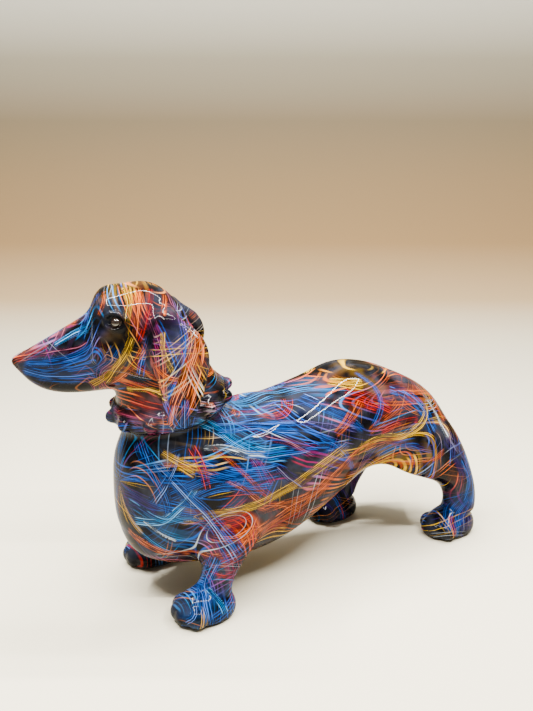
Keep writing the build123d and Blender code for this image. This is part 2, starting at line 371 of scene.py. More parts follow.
def eye_frame(side):
    """The eye's middle on the skin, and the directions forwards, up and out there."""
    centre = left_eye if side > 0 else right_eye
    out = head_side * side * LOOK_OUT + head_forward * LOOK_AHEAD + head_up * LOOK_UP
    out /= np.linalg.norm(out)
    forward = head_forward - out * (head_forward @ out)
    forward /= np.linalg.norm(forward)
    up = np.cross(out, forward)
    if up[2] < 0:
        up = -up
    return centre, forward, up, out


def open_eyes(skin):
    """Raise the lids round each almond opening and sink the skin behind the eyeball."""
    for side in (1, -1):
        centre, forward, up, out = eye_frame(side)
        away = (skin.points - centre) / MM
        u, v, w = away @ forward, away @ up, away @ out
        reach = np.hypot(u / EYE_OPENING, (v - EYE_SLANT * u) / EYE_HALF_HEIGHT)
        near = (np.abs(w) < 6) & (reach < 3)
        lids = LID_RISE * np.exp(-((reach - LID_LINE) / LID_WIDTH) ** 2)
        lids *= np.where(v > 0, UPPER_LID, LOWER_LID)
        sunk = -SOCKET_DEPTH * np.clip((SOCKET_EDGE - reach) / SOCKET_SLOPE, 0, 1)
        move = np.where(near, lids + sunk, 0)
        skin.points += out * (move * MM)[:, None]


def carve_vent(skin, z):
    """The firing vent: a round-edged hole pressed up into the belly."""
    across = np.hypot(skin.points[:, 0] - VENT_X, skin.points[:, 1])
    under = np.abs(skin.points[:, 2] - z) < BELLY_BAND
    inside = smoothstep(VENT_RADIUS * VENT_RIM, VENT_RADIUS * (VENT_RIM - VENT_SLOPE), across)
    skin.points[:, 2] += np.where(under, inside * VENT_DEPTH, 0)


sculpt(skin)
skin.smooth(1)
open_eyes(skin)
carve_vent(skin, belly_z)
skin_normals = skin.normals()


# ---- fields that the print follows --------------------------------------------------------------
def spread_weight(skin, group, rounds):
    """1 on the faces of some pieces, fading to 0 across their joints."""
    weight = np.zeros((len(skin.points), 1))
    weight[np.unique(skin.quads[np.isin(labels, group)])] = 1
    for _ in range(rounds):
        weight = skin.neighbour_mean(weight)
    return weight[:, 0]


def blended(base, other, weight):
    """Turn from one set of fields to another, shifted so that their level lines meet."""
    zone = (weight > 0.2) & (weight < 0.8)
    other = other + (base[zone] - other[zone]).mean(axis=0)
    return base + (other - base) * weight[:, None]


# The middle of the body at places along it, and the radii that turn angles into lengths, in mm
AXIS_ALONG = [-65, -40, 0, 40, 75, 98]
AXIS_HEIGHT = [52, 45, 44, 53, 54, 44]
BODY_RADIUS, MUZZLE_RADIUS, NECK_RADIUS = 24, 11, 20
NECK_MIDDLE = -45


def print_fields(skin):
    """Three numbers at every point, in millimetres, whose level lines the printed trails follow."""
    x, y, z = (skin.points / MM).T
    back, out, up = (to_head(skin.points) / MM).T
    axis = np.interp(x, AXIS_ALONG, AXIS_HEIGHT)
    round_body = BODY_RADIUS * np.arctan2(y, z - axis)
    round_muzzle = MUZZLE_RADIUS * np.arctan2(np.hypot(out, 2), -(up - 0.22 * back + 4))
    round_neck = NECK_RADIUS * np.arctan2(y, x - NECK_MIDDLE)
    fields = np.stack([round_body + 0.24 * x, 0.50 * x + 0.80 * z, 0.85 * x - 0.55 * z], axis=1)
    neck = np.stack([z + 0.1 * x, round_neck + 0.5 * z, round_neck - 0.6 * z], axis=1)
    skull = np.stack([back + 0.25 * up, up + 0.45 * back, 0.7 * back - 0.7 * up], axis=1)
    muzzle = np.stack([round_muzzle, 0.75 * back - 0.65 * up, back + 0.3 * up], axis=1)
    leg = np.stack([0.85 * x + 0.35 * z, 0.45 * x - 0.85 * z, z + 0.6 * y], axis=1)
    for label in LEGS:
        fields = blended(fields, leg, spread_weight(skin, [label], 200))
    over_collar = smoothstep(80, 90, z)
    fields = blended(fields, neck, smoothstep(70, 84, z))
    fields = blended(fields, skull, smoothstep(-8, 4, up) * over_collar)
    fields = blended(fields, muzzle, smoothstep(36, 27, back) * over_collar)
    return blended(fields, skull, spread_weight(skin, [LEFT_EAR, RIGHT_EAR], 12))


COLOURS = {
    "azure": (0.0, 0.055, 0.30), "sky": (0.0, 0.15, 0.42), "navy": (0.0, 0.005, 0.035),
    "orange": (0.45, 0.068, 0.0), "red": (0.28, 0.004, 0.0), "yellow": (0.60, 0.34, 0.0),
    "white": (0.38, 0.44, 0.52), "magenta": (0.13, 0.001, 0.045), "violet": (0.020, 0.008, 0.10),
    "cyan": (0.0, 0.14, 0.22), "peach": (0.40, 0.13, 0.03), "black": (0.001, 0.001, 0.001),
}
# Where each pair of colours rules, on both sides of the dog: along, out, up, reach, two colours.
# On the head a place is back from the nose, out and up.
BODY_TINTS = [
    (-62, 12, 66, 11, "azure", "sky"),
    (-64, 10, 50, 14, "azure", "violet"),
    (-58, 20, 30, 13, "azure", "sky"),
    (-52, 8, 14, 11, "orange", "sky"),
    (-46, 22, 60, 11, "azure", "yellow"),
    (-38, 26, 42, 10, "azure", "red"),
    (-30, 28, 30, 9, "red", "orange"),
    (-24, 26, 66, 11, "azure", "sky"),
    (-14, 28, 50, 11, "azure", "red"),
    (-6, 28, 34, 11, "orange", "magenta"),
    (-4, 22, 18, 12, "orange", "yellow"),
    (2, 16, 76, 12, "azure", "sky"),
    (6, 27, 58, 11, "azure", "magenta"),
    (18, 26, 44, 11, "orange", "azure"),
    (26, 22, 30, 11, "yellow", "orange"),
    (24, 18, 76, 12, "orange", "sky"),
    (30, 25, 62, 11, "azure", "violet"),
    (42, 14, 80, 12, "yellow", "orange"),
    (46, 24, 62, 11, "red", "azure"),
    (58, 22, 48, 12, "yellow", "azure"),
    (62, 16, 74, 12, "red", "orange"),
    (78, 20, 58, 11, "orange", "yellow"),
    (86, 8, 62, 11, "azure", "yellow"),
    (92, 2, 44, 9, "black", "azure"),
]
LEG_TINTS = [
    (-40, 26, 22, 9, "azure", "red"),
    (-46, 26, 7, 12, "sky", "azure"),
    (78, 22, 36, 12, "orange", "azure"),
    (90, 22, 28, 10, "violet", "azure"),
    (84, 21, 7, 12, "violet", "azure"),
    (60, 20, 20, 10, "violet", "magenta"),
    (48, 20, 7, 12, "violet", "azure"),
]
HEAD_TINTS = [
    (4, 0, 1, 8, "orange", "magenta"),
    (14, 6, -6, 9, "navy", "azure"),
    (16, 4, 6, 8, "azure", "magenta"),
    (18, 0, 12, 9, "orange", "magenta"),
    (26, 9, 4, 9, "azure", "magenta"),
    (30, 6, 18, 7, "azure", "cyan"),
    (36, 12, 0, 8, "magenta", "orange"),
    (42, 13, 4, 8, "yellow", "orange"),
    (42, 0, 28, 10, "yellow", "orange"),
    (52, 10, 24, 9, "red", "orange"),
    (54, 14, 8, 9, "magenta", "azure"),
    (46, 12, -10, 10, "orange", "red"),
    (58, 17, 12, 7, "azure", "yellow"),
    (60, 22, 0, 8, "orange", "yellow"),
    (66, 21, -2, 7, "yellow", "white"),
    (60, 25, -14, 7, "azure", "white"),
    (60, 6, -6, 10, "orange", "magenta"),
    (62, 0, 12, 10, "red", "azure"),
]
# The surround of the eye, where the glaze stays black, in the head's frame
EYE_BLACK, EYE_BLACK_RADIUS = (38, 12.5, 15.0), 6.2


def belly_gap(skin):
    """0 along the middle of the belly, where the trails of the two sides meet, and 1 elsewhere."""
    x, y, z = (skin.points / MM).T
    over = smoothstep(0, 6, z - np.interp(x, [-65, 0, 80], [24, 30, 40]))
    return np.maximum(smoothstep(0.6, 2.5, np.abs(y)), over)


def tints(skin):
    """Two colours at every point, mixed from the places near it, and how much the trails show, with painted
    shade along the ear and collar joints.
    """
    total = np.zeros((len(skin.points), 1))
    first = np.zeros((len(skin.points), 3))
    second = np.zeros((len(skin.points), 3))
    side_points = skin.points.copy()
    head_points = to_head(skin.points)
    for points in (side_points, head_points):
        points[:, 1] = np.abs(points[:, 1])
    for points, rows in ((side_points, BODY_TINTS + LEG_TINTS), (head_points, HEAD_TINTS)):
        for x, out, z, reach, a, b in rows:
            away = np.linalg.norm(points - np.array([x, out, z]) * MM, axis=1) / MM
            weight = np.exp(-1.4 * (away / reach) ** 2)[:, None] + 1e-9
            total += weight
            first += weight * np.array(COLOURS[a])
            second += weight * np.array(COLOURS[b])
    eye = np.linalg.norm(head_points - np.array(EYE_BLACK) * MM, axis=1) / MM
    shown = smoothstep(0.75, 1.35, eye / EYE_BLACK_RADIUS)
    # Painted shade: the trails fade towards the black glaze along the ear and collar joints, as dark lines
    # where shade falls between parts
    for first_label, second_labels in ((HEAD, [LEFT_EAR, RIGHT_EAR]), (COLLAR, [TORSO, HEAD, STUDS])):
        shaded_joint_distance = joint_distance(skin, labels, [first_label], second_labels) / MM
        shown = shown * (0.15 + 0.85 * smoothstep(0.2, 1.6, shaded_joint_distance))
    # Painted shade: a dark line along the front edge of each ear
    for side in (1, -1):
        edge = distance_to_path(skin.points, head_path(EAR_FRONT, side)) / MM
        shown = shown * (0.1 + 0.9 * smoothstep(0.8, 3.2, edge))
    shown = (shown * belly_gap(skin))[:, None]
    return np.hstack([first / total, shown]), np.hstack([second / total, shown])


flow_values = print_fields(skin)
tint_a, tint_b = tints(skin)


# ---- bundles of trails, laid one by one ---------------------------------------------------------
# Seen from the side and laid on both sides: colour, paleness from 0 to 1, width at the start and
# at the end, spacing of the strands, and the points that the bundle runs through. The lengths are
# in millimetres.
# On the body a point is (along, height over the table).
BODY_BUNDLES = [
    ("azure", 0.2, 5, 4, 0.9, [(-57, 51), (-50, 55), (-42, 57), (-33, 56), (-25, 51)]),
    ("azure", 0.1, 3, 5, 0.9, [(-54, 48), (-45, 52), (-36, 53), (-27, 50), (-16, 48)]),
    ("azure", 0.8, 3, 11, 1.0, [(-60, 63), (-53, 54), (-43, 40), (-34, 24)]),
    ("azure", 0.8, 2, 6, 0.9, [(-52, 67), (-57, 57), (-62, 47)]),
    ("azure", 0.4, 8, 3, 1.0, [(-62, 70), (-61, 60), (-58, 50), (-57, 42)]),
    ("sky", 0.8, 5, 2, 1.0, [(-67, 46), (-59, 41), (-50, 42), (-42, 36)]),
    ("sky", 0.9, 5, 3, 1.0, [(-66, 39), (-59, 41), (-53, 47), (-48, 54)]),
    ("white", 0.9, 1.5, 1.5, 0.8, [(-64, 40), (-60, 36), (-54, 32)]),
    ("yellow", 0.1, 3, 6, 0.9, [(-57, 67), (-52, 63), (-47, 60)]),
    ("orange", 0.5, 2, 3, 0.8, [(-58, 63), (-50, 62), (-40, 58), (-30, 51), (-21, 43), (-10, 38), (0, 32)]),
    ("orange", 0.1, 2, 2, 0.8, [(-40, 68), (-33, 61), (-26, 53), (-20, 46)]),
    ("yellow", 0.3, 3, 6, 0.8, [(-53, 40), (-44, 43), (-34, 43), (-22, 43), (-8, 46), (6, 51), (22, 56)]),
    ("orange", 0.2, 4, 4, 0.8, [(-24, 40), (-10, 39), (4, 41), (16, 46), (28, 52), (42, 53), (52, 51)]),
    ("red", 0.0, 7, 9, 1.0, [(-47, 38), (-38, 38), (-26, 39)]),
    ("orange", 0.0, 6, 4, 1.1, [(-43, 34), (-34, 33), (-26, 35)]),
    ("orange", 0.9, 2, 3, 0.9, [(-51, 27), (-43, 26), (-35, 28), (-29, 32), (-24, 38)]),
    ("orange", 0.2, 1.5, 2, 0.8, [(-46, 22), (-38, 23), (-31, 27)]),
    ("orange", 0.4, 4, 5, 1.0, [(-69, 38), (-65, 31), (-57, 26), (-48, 25)]),
    ("violet", 0.3, 9, 6, 1.1, [(-70, 46), (-66, 47), (-60, 44)]),
    ("cyan", 0.2, 2.5, 2.5, 0.8, [(-72, 55), (-69, 54.5), (-64, 54)]),
    ("sky", 0.5, 4, 8, 0.9, [(-46, 79), (-37, 74), (-28, 67), (-19, 62), (-8, 60)]),
    ("azure", 0.4, 5, 3, 0.9, [(-28, 63), (-14, 60), (0, 59), (12, 57), (23, 56)]),
    ("white", 0.9, 2, 4, 0.9, [(-43, 68), (-35, 67), (-26, 63), (-18, 61)]),
    ("azure", 0.1, 8, 8, 1.0, [(-46, 62), (-34, 57), (-24, 55), (-12, 54)]),
    ("magenta", 0.2, 4, 8, 1.0, [(-25, 63), (-21, 56), (-17, 49)]),
    ("magenta", 0.6, 2, 3, 0.9, [(-35, 79), (-26, 73), (-16, 67), (-6, 63), (4, 56)]),
    ("red", 0.1, 5, 3, 1.0, [(-47, 69), (-45, 61), (-44, 53)]),
    ("violet", 0.5, 4, 6, 1.0, [(-14, 56), (-8, 50), (-2, 45)]),
    ("azure", 0.3, 5, 7, 0.9, [(-36, 73), (-24, 71), (-12, 69), (0, 67)]),
    ("violet", 0.3, 3, 3, 0.9, [(-8, 70), (4, 68), (16, 65), (28, 61)]),
    ("azure", 0.6, 9, 3, 0.9, [(-22, 77), (-8, 77.5), (4, 76), (14, 72), (23, 67), (31, 60)]),
    ("orange", 0.5, 5, 4, 0.9, [(-24, 74), (-14, 73), (-4, 74), (6, 77)]),
    ("red", 0.2, 4, 6, 1.0, [(-12, 71), (-2, 72), (8, 75)]),
    ("yellow", 0.3, 5, 7, 1.0, [(0, 75), (12, 77), (24, 78.5), (36, 77)]),
    ("orange", 0.1, 4, 7, 1.0, [(16, 62), (24, 66), (32, 72)]),
    ("red", 0.0, 10, 8, 1.1, [(26, 75), (36, 71), (47, 66)]),
    ("orange", 0.3, 4, 8, 1.0, [(34, 59), (42, 63), (51, 68)]),
    ("azure", 0.2, 2, 4, 0.9, [(36, 81), (41, 75), (41, 68), (36, 61)]),
    ("azure", 0.1, 6, 8, 1.1, [(48, 74), (57, 70), (64, 62), (68, 52)]),
    ("red", 0.1, 5, 4, 1.1, [(40, 58), (50, 60), (60, 60)]),
    ("yellow", 0.2, 4, 4, 0.9, [(28, 53), (40, 55), (52, 54), (63, 59), (67, 66)]),
    ("azure", 0.3, 5, 3, 0.9, [(8, 62), (16, 57), (22, 50), (26, 44)]),
    ("orange", 0.3, 4, 6, 0.9, [(58, 78), (68, 73), (75, 64), (78, 54)]),
    ("white", 0.9, 2, 4, 1.0, [(68, 68), (73, 58), (77, 48)]),
    ("orange", 0.5, 3, 3, 0.9, [(40, 44), (52, 41), (64, 41), (73, 44)]),
    ("violet", 0.3, 3, 5, 1.0, [(46, 52), (55, 49), (66, 46)]),
    ("orange", 0.2, 6, 8, 1.0, [(-26, 31), (-14, 32), (0, 37), (13, 44)]),
    ("red", 0.2, 4, 5, 0.9, [(-20, 27), (-8, 29), (4, 33)]),
    ("violet", 0.5, 10, 12, 1.0, [(76, 50), (82, 40), (87, 28)]),
    ("azure", 0.5, 9, 10, 1.0, [(86, 38), (90, 26), (88, 14)]),
    ("azure", 0.4, 7, 8, 1.0, [(-42, 26), (-45, 18), (-48, 11)]),
    ("sky", 1.0, 3, 5, 0.9, [(-53, 14), (-57, 10), (-60, 5)]),
    ("orange", 0.6, 2, 3, 0.9, [(-55, 13), (-59, 9), (-61, 5)]),
    ("violet", 0.8, 4, 6, 0.9, [(-36, 32), (-33, 24), (-35, 16)]),
    ("red", 0.2, 2, 2, 0.9, [(-44, 20), (-38, 18), (-34, 20)]),
    ("azure", 0.3, 3, 6, 1.0, [(-47, 15), (-49, 9), (-49, 3)]),
    ("azure", 0.5, 2, 4, 0.9, [(-49, 13), (-53, 9), (-57, 4)]),
    ("sky", 0.7, 2, 4, 0.9, [(-46, 14), (-43, 9), (-41, 4)]),
    ("azure", 0.3, 10, 13, 1.0, [(88, 20), (82, 12), (76, 5)]),
    ("violet", 0.6, 8, 9, 1.0, [(90, 16), (87, 9), (86, 3)]),
    ("red", 0.4, 3, 4, 1.0, [(79, 11), (78, 7), (78, 3)]),
]
# On the head a point is (back from the nose, up from the nose).
HEAD_BUNDLES = [
    ("azure", 0.2, 5, 9, 0.9, [(4, -2), (12, -4), (22, -4), (31, -2)]),
    ("azure", 0.5, 3, 5, 0.9, [(5, 1), (14, 1), (24, 3), (31, 8)]),
    ("magenta", 0.3, 2.2, 2.2, 0.8, [(7, 3), (15, 4.5), (24, 6), (29, 9)]),
    ("orange", 0.4, 3, 4, 0.9, [(3, 3), (10, 7), (18, 12), (25, 15)]),
    ("red", 0.3, 3, 2, 0.9, [(2, 1), (8, 4), (14, 7)]),
    ("sky", 0.8, 2, 4, 0.8, [(16, 7), (23, 11), (29, 14)]),
    ("azure", 0.3, 3, 4, 0.9, [(34, 27), (31, 22), (28, 16), (26, 9)]),
    ("orange", 0.1, 2, 2, 0.8, [(35, 29), (35, 24), (33, 19)]),
    ("yellow", 0.1, 3, 3, 0.9, [(41, 30), (44, 24), (43, 17), (43, 12)]),
    ("orange", 0.3, 2.5, 2.5, 1.0, [(47, 31), (48, 25), (47, 18), (46, 12)]),
    ("red", 0.2, 2.2, 2.5, 1.0, [(51, 31), (52, 25), (50, 18), (47, 10)]),
    ("orange", 0.1, 2.5, 3, 1.0, [(55, 30), (57, 24), (56, 19)]),
    ("yellow", 0.3, 3, 4, 0.8, [(45, 12), (42, 5), (38, -1), (34, -7)]),
    ("yellow", 0.0, 2, 4, 0.9, [(37, -1), (33, -5), (29, -8)]),
    ("orange", 0.3, 3, 2, 0.9, [(49, 8), (45, 2), (40, -4), (36, -7)]),
    ("azure", 0.1, 5, 4, 1.0, [(39, 8), (36, 3), (30, -2)]),
    ("magenta", 0.3, 4, 6, 0.9, [(51, 21), (53, 14), (56, 7)]),
    ("azure", 0.2, 3, 4, 1.0, [(51, 12), (49, 5), (47, -2)]),
    ("orange", 0.4, 3, 3, 0.8, [(49, 10), (52, 4), (56, -1), (61, -3)]),
    ("yellow", 0.3, 2, 2, 0.8, [(56, 14), (56, 7), (59, 0)]),
    ("azure", 0.0, 2.5, 3, 0.8, [(63, 15), (63, 7), (60, -1), (56, -9)]),
    ("orange", 0.55, 5, 4, 0.8, [(66, 18), (67, 9), (63, -2), (59, -11), (57, -19)]),
    ("orange", 0.4, 5, 4, 0.9, [(69, 13), (69, 4), (66, -6), (62, -16)]),
    ("red", 0.2, 2, 5, 0.9, [(70, 12), (73, 7), (75, 1)]),
    ("sky", 0.8, 3, 5, 0.9, [(59, -11), (58, -16), (58, -21)]),
    ("azure", 0.5, 3, 5, 0.9, [(63, -9), (63, -15), (63, -21)]),
    ("red", 0.1, 2, 2, 0.9, [(46, 2), (50, 0), (54, -3)]),
    ("yellow", 0.3, 2, 3, 0.9, [(42, -8), (49, -7), (57, -9)]),
    ("orange", 0.3, 3, 3, 0.9, [(42, -15), (49, -18), (57, -18)]),
    ("red", 0.2, 4, 3, 1.0, [(43, -12), (50, -13), (57, -14)]),
    ("magenta", 0.2, 3, 3, 1.0, [(44, -20), (51, -22), (58, -22)]),
]
BUNDLE_SLOTS = 3
STRAND_PITCH = 0.78        # the strands lie this much closer than the spacings say
FEWEST_TOUCHES = 4         # a bundle that misses the skin is left out, as on the far hind leg
BUNDLE_STEP = 1.2          # between the places where a bundle touches the skin, in millimetres


def smooth_curve(points):
    """Points about a step apart on a smooth curve through the given points."""
    points = np.array(points, float)
    padded = np.vstack([2 * points[0] - points[1], points, 2 * points[-1] - points[-2]])
    curve = []
    for a, b, c, d in zip(padded, padded[1:], padded[2:], padded[3:]):
        count = max(2, int(np.linalg.norm(c - b) / BUNDLE_STEP))
        for t in np.arange(count)[:, None] / count:
            bend = (2 * a - 5 * b + 4 * c - d) * t ** 2 + (3 * b - a - 3 * c + d) * t ** 3
            curve.append((2 * b + (c - a) * t + bend) / 2)
    curve.append(points[-1])
    return np.array(curve)


def touch_points(tree, route, side, on_head):
    """Where a route seen from one side of the dog meets the skin, with the skin's normals there."""
    hits = []
    for first, second in route:
        if on_head:
            start = Vector(from_head(first, 100 * side, second))
            aim = Vector(-side * head_side)
        else:
            start = Vector((first * MM, -0.1 * side, second * MM))
            aim = Vector((0, side, 0))
        place, normal, _, _ = tree.ray_cast(start, aim)
        if place is not None:
            hits.append((*place, *normal))
    hits = np.array(hits).reshape(-1, 6)
    return hits[:, :3], hits[:, 3:]


def lay_bundles(skin):
    """For each slot: strand number, length along and strength at every point, and the colour."""
    tree = BVHTree.FromPolygons([tuple(p) for p in skin.points], skin.faces)
    threads = [np.zeros((len(skin.points), 3)) for _ in range(BUNDLE_SLOTS)]
    dyes = [np.zeros((len(skin.points), 4)) for _ in range(BUNDLE_SLOTS)]
    rows = [(row, False) for row in BODY_BUNDLES] + [(row, True) for row in HEAD_BUNDLES]
    jobs = [(row, on_head, side) for row, on_head in rows for side in (1, -1)]
    for number, (row, on_head, side) in enumerate(jobs):
        colour, pale, start_width, end_width, spacing, route = row
        places, normals = touch_points(tree, smooth_curve(route), side, on_head)
        if len(places) < FEWEST_TOUCHES:
            continue
        steps = np.linalg.norm(np.diff(places, axis=0), axis=1) / MM
        lengths = np.concatenate([[0], np.cumsum(steps)])
        tangents = np.gradient(places, axis=0)
        tangents /= np.linalg.norm(tangents, axis=1)[:, None]
        acrosses = np.cross(normals, tangents)
        reach = max(start_width, end_width) / 2 * MM
        low, high = places.min(0) - reach, places.max(0) + reach
        near = np.nonzero(np.all((skin.points > low) & (skin.points < high), axis=1))[0]
        gaps = np.linalg.norm(skin.points[near][:, None] - places[None], axis=2)
        closest = gaps.argmin(axis=1)
        offset = (skin.points[near] - places[closest]) / MM
        along = lengths[closest] + np.sum(offset * tangents[closest], axis=1)
        across = np.sum(offset * acrosses[closest], axis=1)
        reached = along / lengths[-1]
        half = (start_width + (end_width - start_width) * np.clip(reached, 0, 1)) / 2
        facing = np.sum(skin_normals[near] * normals[closest], axis=1)
        strength = smoothstep(1.0, 0.7, np.abs(across) / half) * smoothstep(0.1, 0.4, facing)
        strength *= smoothstep(-0.01, 0.06, reached) * smoothstep(1.01, 0.92, reached)
        strength[gaps.min(axis=1) > reach * 1.3] = 0
        clashes = [np.sum(strength * threads[slot][near, 2]) for slot in range(BUNDLE_SLOTS)]
        slot = int(np.argmin(clashes))
        wins = strength > threads[slot][near, 2]
        chosen = near[wins]
        strand = across / half * (start_width + end_width) / 4 / (spacing * STRAND_PITCH)
        threads[slot][chosen] = np.stack([strand + 32 + 64 * number, along, strength], axis=1)[wins]
        dyes[slot][chosen] = (*COLOURS[colour], pale)
    return threads, dyes


threads, dyes = lay_bundles(skin)


# ---- cut the skin into its pieces ---------------------------------------------------------------
def cut_piece(name, faces):
    """One closed piece of the skin. It keeps the skin's shading, so that no joint line shows."""
    used, inverse = np.unique(skin.quads[faces], return_inverse=True)
    corners = inverse.reshape(-1, 4)
    polygons = [tuple(dict.fromkeys(int(v) for v in row)) for row in corners]
    points = [tuple(p) for p in skin.points[used]]
    directed = {(p[i], p[(i + 1) % len(p)]) for p in polygons for i in range(len(p))}
    rim = [(a, b) for a, b in directed if (b, a) not in directed]
    group = {}

    def root(v):
        while group.setdefault(v, v) != v:
            v = group[v]
        return v

    for a, b in sorted(rim):
        group[root(a)] = root(b)
    rings = {}
    for a, b in sorted(rim):
        rings.setdefault(root(a), []).append((a, b))
    skin_count = len(polygons)
    for ring in rings.values():
        centre = np.mean([points[a] for a, _ in ring], axis=0)
        points.append(tuple(centre))
        polygons += [(b, a, len(points) - 1) for a, b in ring]
    piece = new_object(name, points, polygons)
    mesh = piece.data
    extra = len(points) - len(used)
    write_attribute(mesh, "flows", "FLOAT_VECTOR", "vector", flow_values[used], extra)
    write_attribute(mesh, "tint_a", "FLOAT_COLOR", "color", tint_a[used], extra)
    write_attribute(mesh, "tint_b", "FLOAT_COLOR", "color", tint_b[used], extra)
    for slot in range(BUNDLE_SLOTS):
        write_attribute(mesh, f"thread_{slot}", "FLOAT_VECTOR", "vector", threads[slot][used], extra)
        write_attribute(mesh, f"dye_{slot}", "FLOAT_COLOR", "color", dyes[slot][used], extra)
    shading = []
    normals = skin_normals[used]
    for index, polygon in enumerate(mesh.polygons):
        for loop in polygon.loop_indices:
            vertex = mesh.loops[loop].vertex_index
            shading.append(normals[vertex] if index < skin_count else tuple(polygon.normal))
    mesh.shade_smooth()
    mesh.normals_split_custom_set(shading)
    return piece


def write_attribute(mesh, name, kind, field, values, extra):
    values = np.vstack([values, np.zeros((extra, values.shape[1]))]).astype(np.float32)
    attribute = mesh.attributes.new(name, kind, "POINT")
    attribute.data.foreach_set(field, values.ravel())


pieces = {}
for index, node in enumerate(SKIN_NODES):
    piece = cut_piece("glazed_" + node, np.nonzero(labels == index)[0])
    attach(piece, "root")
    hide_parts(node)
    pieces[node] = piece


# ---- materials ----------------------------------------------------------------------------------
class Paint:
    """A material whose nodes are written as short sums."""

    def __init__(self, name):
        self.material = bpy.data.materials.new(name)
        self.material.use_nodes = True
        self.tree = self.material.node_tree
        self.shader = self.tree.nodes["Principled BSDF"]

    def node(self, kind, values=(), **settings):
        node = self.tree.nodes.new("ShaderNode" + kind)
        for key, value in settings.items():
            setattr(node, key, value)
        for key, value in dict(values).items():
            self.feed(node.inputs[key], value)
        return node

    def feed(self, socket, value):
        if isinstance(value, bpy.types.NodeSocket):
            self.tree.links.new(value, socket)
        elif hasattr(value, "__len__") and len(value) == 3 and socket.type == "RGBA":
            socket.default_value = (*value, 1)
        else:
            socket.default_value = value

    def set(self, **values):
        for key, value in values.items():
            self.feed(self.shader.inputs[key.replace("_", " ")], value)

    def math(self, operation, *values):
        return self.node("Math", dict(enumerate(values)), operation=operation).outputs[0]

    def times(self, first, second):
        return self.math("MULTIPLY", first, second)

    def vector(self, operation, *values):
        node = self.node("VectorMath", operation=operation)
        for socket, value in zip(node.inputs, values):
            self.feed(socket, value)
        return node.outputs[0]

    def scaled(self, vector, factor):
        node = self.node("VectorMath", operation="SCALE")
        self.feed(node.inputs[0], vector)
        self.feed(node.inputs["Scale"], factor)
        return node.outputs[0]

    def ramp(self, value, low, high, start=0.0, end=1.0):
        """A smooth step from start to end while the value goes from low to high."""
        values = {"Value": value, "From Min": low, "From Max": high, "To Min": start, "To Max": end}
        return self.node("MapRange", values, interpolation_type="SMOOTHSTEP").outputs[0]

    def mix(self, factor, first, second):
        """One colour turning into another. The numbers are the colour sockets of a Mix node."""
        return self.node("Mix", {0: factor, 6: first, 7: second}, data_type="RGBA").outputs[2]

    def parts(self, vector):
        return self.node("SeparateXYZ", {0: vector}).outputs

    def together(self, *values):
        return self.node("CombineXYZ", dict(enumerate(values))).outputs[0]

    def chance(self, number):
        """Random numbers for a whole number."""
        return self.node("TexWhiteNoise", {"W": number}, noise_dimensions="1D").outputs

    def noise(self, vector, scale, detail=2.0, rough=0.5):
        values = {"Vector": vector, "Scale": scale, "Detail": detail, "Roughness": rough}
        return self.node("TexNoise", values, noise_dimensions="3D").outputs

    def position(self):
        """Where a point is on the object, in millimetres."""
        return self.scaled(self.node("TexCoord").outputs["Object"], 1 / MM)

    def attribute(self, name):
        return self.node("Attribute", attribute_name=name)

    def bump(self, height, distance, strength=1.0):
        values = {"Height": height, "Distance": distance, "Strength": strength}
        return self.node("Bump", values).outputs[0]

    def gradient(self, value, stops, interpolation="LINEAR"):
        """A run of colours, each given with its place from 0 to 1."""
        ramp = self.node("ValToRGB", {0: value})
        ramp.color_ramp.interpolation = interpolation
        elements = ramp.color_ramp.elements
        while len(elements) < len(stops):
            elements.new(0.5)
        for element, (place, colour) in zip(elements, stops):
            element.position = place
            element.color = (*colour, 1)
        return ramp.outputs[0]

    def colours(self, value, names):
        """A colour picked from a row of named colours by a value from 0 to 1."""
        stops = [(index / len(names), COLOURS[name]) for index, name in enumerate(names)]
        return self.gradient(value, stops, "CONSTANT")


def strands(paint, cells, seed, wander, least, spread, core):
    """One thin line in each unit of cells, each with its own place, width and brightness.

    wander is how far a line's place varies, least and spread give half its width, and core is the
    share of that half which is solid. Returns the line, its number and its brightness.
    """
    number = paint.math("FLOOR", cells)
    place, breadth, light = paint.parts(paint.chance(paint.math("ADD", number, seed))["Color"])
    centre = paint.math("MULTIPLY_ADD", place, wander, (1 - wander) / 2)
    half = paint.math("MULTIPLY_ADD", breadth, spread, least)
    off = paint.math("ABSOLUTE", paint.math("SUBTRACT", paint.math("FRACT", cells), centre))
    line = paint.math("SUBTRACT", 1.0, paint.ramp(off, paint.times(half, core), half))
    return line, number, light


def trails(paint, field, position, pitch, bundle, width, length, seed, cover):
    """Light trails along the level lines of a field, in bundles of strands.

    The strands of a bundle share a colour, and start and end near each other. A larger cover
    shows more of each bundle. Returns the mask and a random number for each bundle.
    """
    cells = paint.math("DIVIDE", field, pitch)
    line, _, light = strands(paint, cells, seed, 0.5, 0.35 * width, 0.9 * width, 0.4)
    groups = paint.math("MULTIPLY_ADD", field, 1 / bundle, seed * 0.37)
    group = paint.math("FLOOR", groups)
    pick = paint.chance(paint.math("ADD", group, seed))["Value"]
    inside = paint.math("ABSOLUTE", paint.math("SUBTRACT", paint.math("FRACT", groups), 0.5))
    inside = paint.ramp(inside, 0.5, 0.32)
    jump = paint.together(paint.times(group, 3.17), paint.times(group, 7.93), seed)
    here = paint.noise(paint.vector("ADD", paint.scaled(position, 1 / length), jump), 1.0, 1.0)[0]
    stagger = paint.math("MULTIPLY_ADD", light, 0.10, here)
    shown = paint.ramp(stagger, 0.70 - 0.32 * cover, 0.80 - 0.32 * cover)
    glow = paint.math("MULTIPLY_ADD", light, 0.75, 0.25)
    return paint.times(paint.times(line, shown), paint.times(glow, inside)), pick


STRAND_DRIFT = 2.6         # how many strands wide a laid bundle wanders
STRAND_RUN = 10            # how long a strand keeps its brightness, in millimetres


